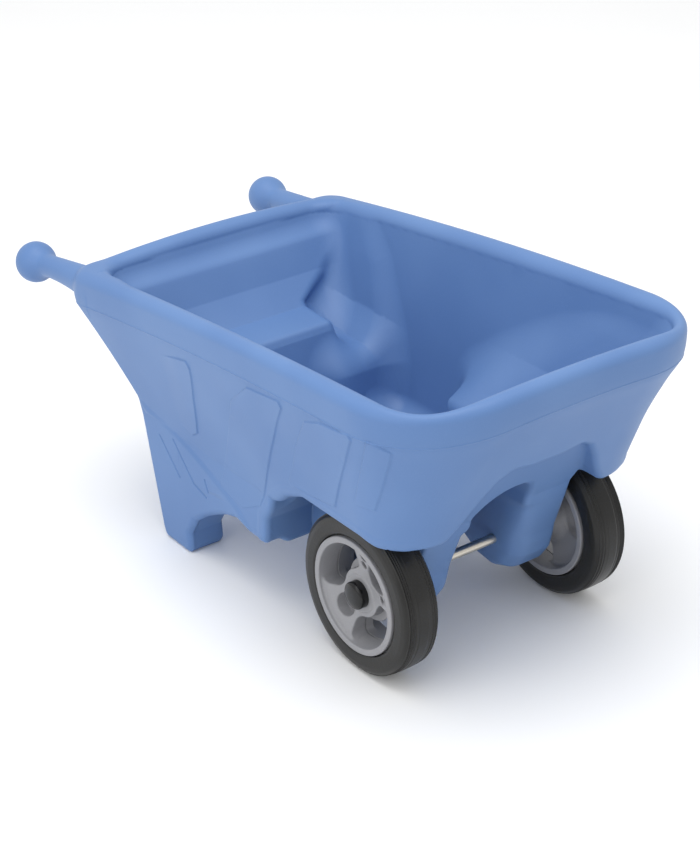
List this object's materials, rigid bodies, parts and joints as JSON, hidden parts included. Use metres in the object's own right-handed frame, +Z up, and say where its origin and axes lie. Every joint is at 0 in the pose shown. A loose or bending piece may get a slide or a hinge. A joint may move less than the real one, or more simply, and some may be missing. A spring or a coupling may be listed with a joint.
{
  "type": "children's two-wheeled push cart",
  "caption": "Moulded plastic tub cart with two rubber-tyred wheels at the front, two moulded rest legs and two ball-ended handles at the rear.",
  "frame": {"origin": "centre of the cart's bounding box on the floor it stands on", "axes": "+X towards the wheel end, +Y to the cart's left, +Z up; the handles point to -X"},
  "size_m": [0.876, 0.453, 0.4159],
  "materials": {
    "shell": "satin",
    "steel": "zinc plated, satin",
    "hub": "satin",
    "tyre": "smooth rubber",
    "nylon": "satin",
    "cap": "gloss"
  },
  "bodies": {
    "cart": {"body": "shell", "axle": "steel", "inner_washer_left": "steel", "outer_washer_left": "steel", "retaining_ring_left": "steel", "inner_washer_right": "steel", "outer_washer_right": "steel", "retaining_ring_right": "steel"},
    "wheel_left": {"tyre_left": "tyre", "hub_outer_left": "hub", "hub_inner_left": "hub", "outer_bush_left": "nylon", "inner_bush_left": "nylon", "hub_cap_left": "cap"},
    "wheel_right": {"tyre_right": "tyre", "hub_outer_right": "hub", "hub_inner_right": "hub", "outer_bush_right": "nylon", "inner_bush_right": "nylon", "hub_cap_right": "cap"}
  },
  "joints": [
    {"name": "wheel_left_spin", "type": "hinge", "parent": "cart", "child": "wheel_left", "pos_m": [0.251, 0.143, 0.1], "axis": [0, 1, 0], "continuous": true},
    {"name": "wheel_right_spin", "type": "hinge", "parent": "cart", "child": "wheel_right", "pos_m": [0.251, -0.143, 0.1], "axis": [0, 1, 0], "continuous": true}
  ]
}
